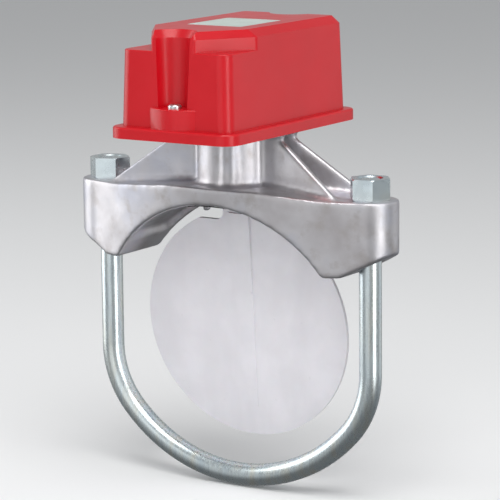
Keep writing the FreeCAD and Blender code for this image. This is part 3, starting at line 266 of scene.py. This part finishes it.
FINISHES = {
    "saddle_casting": casting, "pipe_gasket": rubber, "pivot_pin": stainless, "cover_seal": rubber,
    "cover": red, "cover_screw_front": screw_zinc, "cover_screw_rear": screw_zinc,
    "u_bolt": rod_zinc, "nut_left": nut_zinc, "nut_right": nut_zinc, "stem": stainless,
    "paddle": vane, "paddle_clamp": stainless, "clamp_screws": stainless, "trip_arm": sheet_zinc,
    "trip_screws": brass, "arm_screw": screw_zinc, "seal_boot": rubber, "boot_ring": sheet_zinc,
    "ring_screws": screw_zinc, "switch_left": switch_case, "switch_right": switch_case,
    "switch_lever_left": spring_steel, "switch_lever_right": spring_steel,
    "switch_insulator": board, "switch_screws": screw_zinc, "terminal_tabs": brass,
    "terminal_screws": nickel, "switch_bracket": sheet_zinc, "retard_bracket": sheet_zinc,
    "bracket_screws": screw_zinc, "ground_screw": green, "conduit_plug": plug_plastic,
    "retard_body": retard_case, "retard_plunger": stainless, "retard_dial": dial_plastic,
    "return_spring": spring_steel,
}
for name, finish in FINISHES.items():
    for place in nodes[name].material_slots:
        place.material = finish


# ------------------------------------------------------------------ new pieces
def piece_from(name, shape, finish, body, smooth=True):
    bmesh.ops.recalc_face_normals(shape, faces=shape.faces)
    mesh = bpy.data.meshes.new(name)
    shape.to_mesh(mesh)
    shape.free()
    mesh.materials.append(finish)
    if smooth:
        mesh.shade_smooth()
    piece = bpy.data.objects.new(name, mesh)
    bpy.context.scene.collection.objects.link(piece)
    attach(piece, body)
    return piece


def remade(name, mesh, grain):
    """The mesh skinned over anew in small even squares, as one closed skin."""
    carrier = bpy.data.objects.new(name, mesh)
    bpy.context.scene.collection.objects.link(carrier)
    skin = carrier.modifiers.new("skin", "REMESH")
    skin.mode = "VOXEL"
    skin.voxel_size = grain
    ready = carrier.evaluated_get(bpy.context.evaluated_depsgraph_get())
    out = bpy.data.meshes.new_from_object(ready)
    bpy.data.objects.remove(carrier)
    return out


def swell(shape, amount):
    """Moves every point out along its normal, or in where the amount is negative."""
    shape.normal_update()
    moves = [v.normal * amount for v in shape.verts]
    for point, move in zip(shape.verts, moves):
        point.co += move


def shape_of(mesh):
    shape = bmesh.new()
    shape.from_mesh(mesh)
    return shape


def keep_in(mesh, shape):
    shape.to_mesh(mesh)
    shape.free()
    return mesh


def even_out(shape, times):
    """Draws each point halfway to the middle of its neighbours."""
    for again in range(times):
        bmesh.ops.smooth_vert(
            shape, verts=shape.verts, factor=0.5, use_axis_x=True, use_axis_y=True, use_axis_z=True)


weld = 0.01 * MM         # points closer than this are one
first_grain = 1.1 * MM   # skin of the casting as built
second_grain = 1.15 * MM  # skin of the swollen casting
fillet = 1.3 * MM        # swollen and shrunk by this, which fills the inner corners

label_size = (39.6 * MM, 47.6 * MM, 0.2 * MM)
label_place = (2 * MM, -3.5 * MM)
label_sink = 0.13 * MM   # its middle below the cover's top
label_corner = 2.0 * MM


def soft_casting():
    """The saddle with the soft edges and fillets of a die casting."""
    shape = shape_of(nodes["saddle_casting"].data)
    bmesh.ops.remove_doubles(shape, verts=shape.verts, dist=weld)
    fine = remade("fine_saddle", keep_in(bpy.data.meshes.new("rough_saddle"), shape), first_grain)
    shape = shape_of(fine)
    swell(shape, fillet)
    shape = shape_of(remade("filled_saddle", keep_in(fine, shape), second_grain))
    even_out(shape, 1)
    swell(shape, -fillet)
    even_out(shape, 3)
    piece = piece_from("saddle_soft", shape, casting, "base")
    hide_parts("saddle_casting")


def cover_label():
    """A bare film label stuck to the top of the cover."""
    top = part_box("cover")[1].z
    shape = bmesh.new()
    bmesh.ops.create_cube(shape, size=1.0)
    bmesh.ops.scale(shape, vec=label_size, verts=shape.verts)
    upright = [e for e in shape.edges if abs(e.verts[0].co.z - e.verts[1].co.z) > 0.05 * MM]
    bmesh.ops.bevel(
        shape, geom=upright, offset=label_corner, segments=6, profile=0.5, affect="EDGES", material=-1)
    bmesh.ops.translate(shape, vec=(*label_place, top - label_sink), verts=shape.verts)
    piece_from("cover_label", shape, label_film(), "cover", False)


soft_casting()
cover_label()


# ------------------------------------------------------------------ studio
def flat_card(name, centre, size, colour, rough):
    shape = bmesh.new()
    bmesh.ops.create_grid(shape, x_segments=1, y_segments=1, size=size)
    bmesh.ops.translate(shape, vec=centre, verts=shape.verts)
    mesh = keep_in(bpy.data.meshes.new(name), shape)
    finish = blank_finish(name + "_paint", colour, rough, specular=0.2)
    mesh.materials.append(finish)
    card = bpy.data.objects.new(name, mesh)
    bpy.context.scene.collection.objects.link(card)
    return card


def soft_box(name, place, aim, size, watts):
    """A lit panel of that width and height, turned to face the aim."""
    lamp = bpy.data.lights.new(name, "AREA")
    lamp.shape = "RECTANGLE"
    lamp.size, lamp.size_y = size
    lamp.energy = watts
    box = bpy.data.objects.new(name, lamp)
    box.location = place
    box.rotation_euler = (Vector(aim) - Vector(place)).to_track_quat("-Z", "Y").to_euler()
    bpy.context.scene.collection.objects.link(box)


floor_gap = 0.3 * MM
floor = flat_card("floor", (0, 0, cad_low.z - floor_gap), 12, paint(236, 236, 236), 0.8)
floor.visible_glossy = False


def round_about(turn, rise, away):
    """A place about the object: turn from straight ahead towards +X, and rise, in degrees."""
    turn, rise = math.radians(turn), math.radians(rise)
    level = away * math.cos(rise)
    return (level * math.sin(turn), -level * math.cos(turn), away * math.sin(rise))


heart = (0, 0, 0.06)
near, far = 1.8, 2.3
soft_box("box_left", round_about(-74, 14, near), heart, (1.4, 1.7), 14.5)
soft_box("strip_right", round_about(72, 8, near), heart, (0.75, 1.6), 11)
soft_box("box_back_right", round_about(141, 14, near), heart, (0.9, 2.0), 2.5)
soft_box("fill_front", round_about(0, 6, far), heart, (1.9, 1.6), 6)
soft_box("box_high", round_about(36, 60, near), heart, (1.3, 1.3), 23)

world = bpy.data.worlds.new("studio")
bpy.context.scene.world = world
world.use_nodes = True
sky = world.node_tree.nodes["Background"]
sky.inputs["Color"].default_value = (0.96, 0.98, 1.0, 1)
way = world.node_tree.nodes.new("ShaderNodeTexCoord")
parts = world.node_tree.nodes.new("ShaderNodeSeparateXYZ")
dusk = world.node_tree.nodes.new("ShaderNodeMapRange")
low_height, level_height = -0.6, -0.15   # how far below the horizon, as a sine
low_light, level_light = 0.16, 0.42
dusk.inputs["From Min"].default_value = low_height
dusk.inputs["From Max"].default_value = level_height
dusk.inputs["To Min"].default_value = low_light
dusk.inputs["To Max"].default_value = level_light
world.node_tree.links.new(way.outputs["Generated"], parts.inputs["Vector"])
world.node_tree.links.new(parts.outputs["Z"], dusk.inputs["Value"])
world.node_tree.links.new(dusk.outputs["Result"], sky.inputs["Strength"])

lens = bpy.data.cameras.new("camera")
lens.sensor_width = 36
lens.lens = 190.35
camera = bpy.data.objects.new("camera", lens)
bpy.context.scene.collection.objects.link(camera)
azimuth, elevation, roll = math.radians(32.27), math.radians(10.32), math.radians(-0.57)
back = Vector((
    math.sin(azimuth) * math.cos(elevation), -math.cos(azimuth) * math.cos(elevation), math.sin(elevation),
))
turned = (-back).to_track_quat("-Z", "Y").to_matrix() @ Matrix.Rotation(roll, 3, "Z")
camera.rotation_euler = turned.to_euler()
camera.location = (0.8770, -1.3737, 0.3495)
lens.clip_start, lens.clip_end = 0.05, 60
bpy.context.scene.camera = camera
bpy.context.scene.view_settings.view_transform = "Standard"
